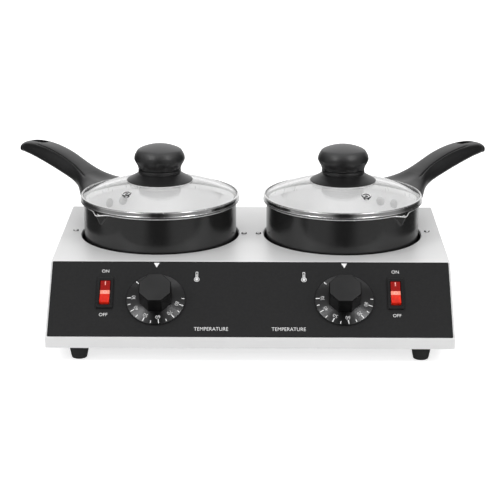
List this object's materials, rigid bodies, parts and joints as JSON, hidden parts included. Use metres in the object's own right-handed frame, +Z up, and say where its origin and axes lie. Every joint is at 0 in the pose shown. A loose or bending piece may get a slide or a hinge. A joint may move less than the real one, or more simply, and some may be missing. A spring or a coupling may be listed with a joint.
{
  "type": "melting warmer",
  "caption": "Sheet-steel dry-heat melting warmer with a sloping control panel, lift-out saucepans standing in round heated wells, and domed glass lids.",
  "frame": {"origin": "centre of the footprint of the whole object, handles included, on the surface that the feet stand on", "axes": "+X to the right as seen from the front, +Y to the back, +Z up; the control panel faces -Y"},
  "size_m": [0.532, 0.3652, 0.1822],
  "materials": {
    "satin_steel": "satin",
    "grey_steel": "satin",
    "fascia_black": "semi-gloss",
    "well_steel": "satin",
    "cast_aluminium": "cast",
    "element_sheath": "oxidised",
    "ceramic_body": "matt",
    "capillary_copper": "drawn",
    "bright_steel": "polished",
    "black_rubber": "matt",
    "dial_black": "fine satin",
    "skirt_black": "spun gloss",
    "switch_black": "moulded",
    "rocker_red": "translucent",
    "pan_coating": "non-stick, satin",
    "handle_black": "moulded, satin",
    "lid_glass": "clear",
    "ring_steel": "polished"
  },
  "bodies": {
    "base": {"housing_shell": "satin_steel", "bottom_plate": "grey_steel", "control_fascia": "fascia_black", "well_left": "well_steel", "well_right": "well_steel", "heat_plate_left": "cast_aluminium", "heat_plate_right": "cast_aluminium", "element_left": "element_sheath", "element_right": "element_sheath", "element_clamp_left": "grey_steel", "element_clamp_right": "grey_steel", "thermostat_left": "ceramic_body", "thermostat_right": "ceramic_body", "sensor_left": "capillary_copper", "sensor_right": "capillary_copper", "switch_body_left": "switch_black", "switch_body_right": "switch_black", "terminal_block": "ceramic_body", "cord_gland": "black_rubber", "feet": "black_rubber", "foot_screws": "bright_steel", "deck_screws": "bright_steel", "base_screws": "bright_steel"},
    "pan_left": {"pan_left": "pan_coating", "handle_bracket_left": "grey_steel", "rivets_left": "bright_steel", "handle_left": "handle_black", "handle_screw_left": "bright_steel"},
    "lid_left": {"lid_glass_left": "lid_glass", "lid_ring_left": "ring_steel", "lid_vent_left": "bright_steel", "lid_base_left": "handle_black", "lid_knob_left": "handle_black", "lid_screw_left": "bright_steel"},
    "dial_left": {"dial_grip_left": "dial_black", "dial_skirt_left": "skirt_black", "dial_shaft_left": "bright_steel"},
    "rocker_left": {"rocker_left": "rocker_red"},
    "pan_right": {"pan_right": "pan_coating", "handle_bracket_right": "grey_steel", "rivets_right": "bright_steel", "handle_right": "handle_black", "handle_screw_right": "bright_steel"},
    "lid_right": {"lid_glass_right": "lid_glass", "lid_ring_right": "ring_steel", "lid_vent_right": "bright_steel", "lid_base_right": "handle_black", "lid_knob_right": "handle_black", "lid_screw_right": "bright_steel"},
    "dial_right": {"dial_grip_right": "dial_black", "dial_skirt_right": "skirt_black", "dial_shaft_right": "bright_steel"},
    "rocker_right": {"rocker_right": "rocker_red"}
  },
  "joints": [
    {"name": "pan_lift_left", "type": "slide", "parent": "base", "child": "pan_left", "axis": [0, 0, 1], "range_m": [0, 0.14]},
    {"name": "lid_lift_left", "type": "slide", "parent": "pan_left", "child": "lid_left", "axis": [0, 0, 1], "range_m": [0, 0.1]},
    {"name": "dial_turn_left", "type": "hinge", "parent": "base", "child": "dial_left", "pos_m": [-0.093, -0.15046, 0.0555], "axis": [0, 0.6429, -0.7659], "range_deg": [0, 270]},
    {"name": "rocker_tip_left", "type": "hinge", "parent": "base", "child": "rocker_left", "pos_m": [-0.1438, -0.14289, 0.05924], "axis": [1, 0, 0], "range_deg": [0, 12]},
    {"name": "pan_lift_right", "type": "slide", "parent": "base", "child": "pan_right", "axis": [0, 0, 1], "range_m": [0, 0.14]},
    {"name": "lid_lift_right", "type": "slide", "parent": "pan_right", "child": "lid_right", "axis": [0, 0, 1], "range_m": [0, 0.1]},
    {"name": "dial_turn_right", "type": "hinge", "parent": "base", "child": "dial_right", "pos_m": [0.093, -0.15046, 0.0555], "axis": [0, 0.6429, -0.7659], "range_deg": [0, 270]},
    {"name": "rocker_tip_right", "type": "hinge", "parent": "base", "child": "rocker_right", "pos_m": [0.1438, -0.14289, 0.05924], "axis": [1, 0, 0], "range_deg": [0, 12]}
  ]
}
